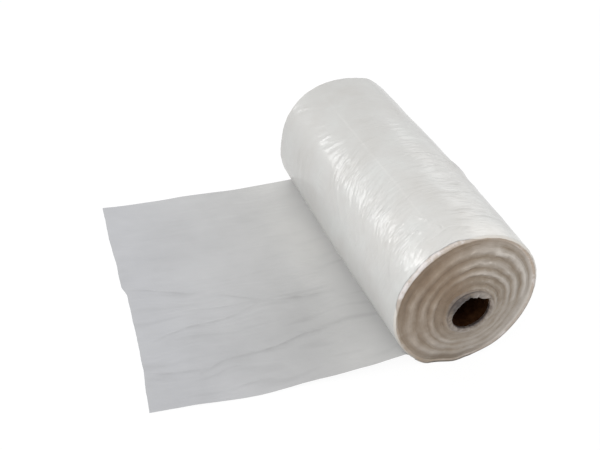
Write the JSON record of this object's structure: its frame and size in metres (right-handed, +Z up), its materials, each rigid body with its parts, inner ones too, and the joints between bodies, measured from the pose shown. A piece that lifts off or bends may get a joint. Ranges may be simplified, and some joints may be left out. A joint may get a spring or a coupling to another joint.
{
  "type": "roll of plastic bags",
  "caption": "Roll of clear film bags on a cardboard core, lying down with the first bag pulled off flat from under the roll.",
  "frame": {"origin": "on the resting surface, under the core's axis at the middle of the roll's length", "axes": "+Y along the core's axis away from the end whose turns stand proud, +Z up, the pulled-off bag lies towards -X"},
  "size_m": [0.367, 0.3149, 0.1435],
  "materials": {
    "cardboard": "matt brown spiral-wound cardboard",
    "wound_film": "milky, slightly crinkled film wound many turns deep",
    "loose_film": "thin translucent film, creased, two layers lying flat"
  },
  "bodies": {
    "root": {"core_tube": "cardboard", "wound_bags": "wound_film", "leading_bag": "loose_film"}
  },
  "joints": []
}
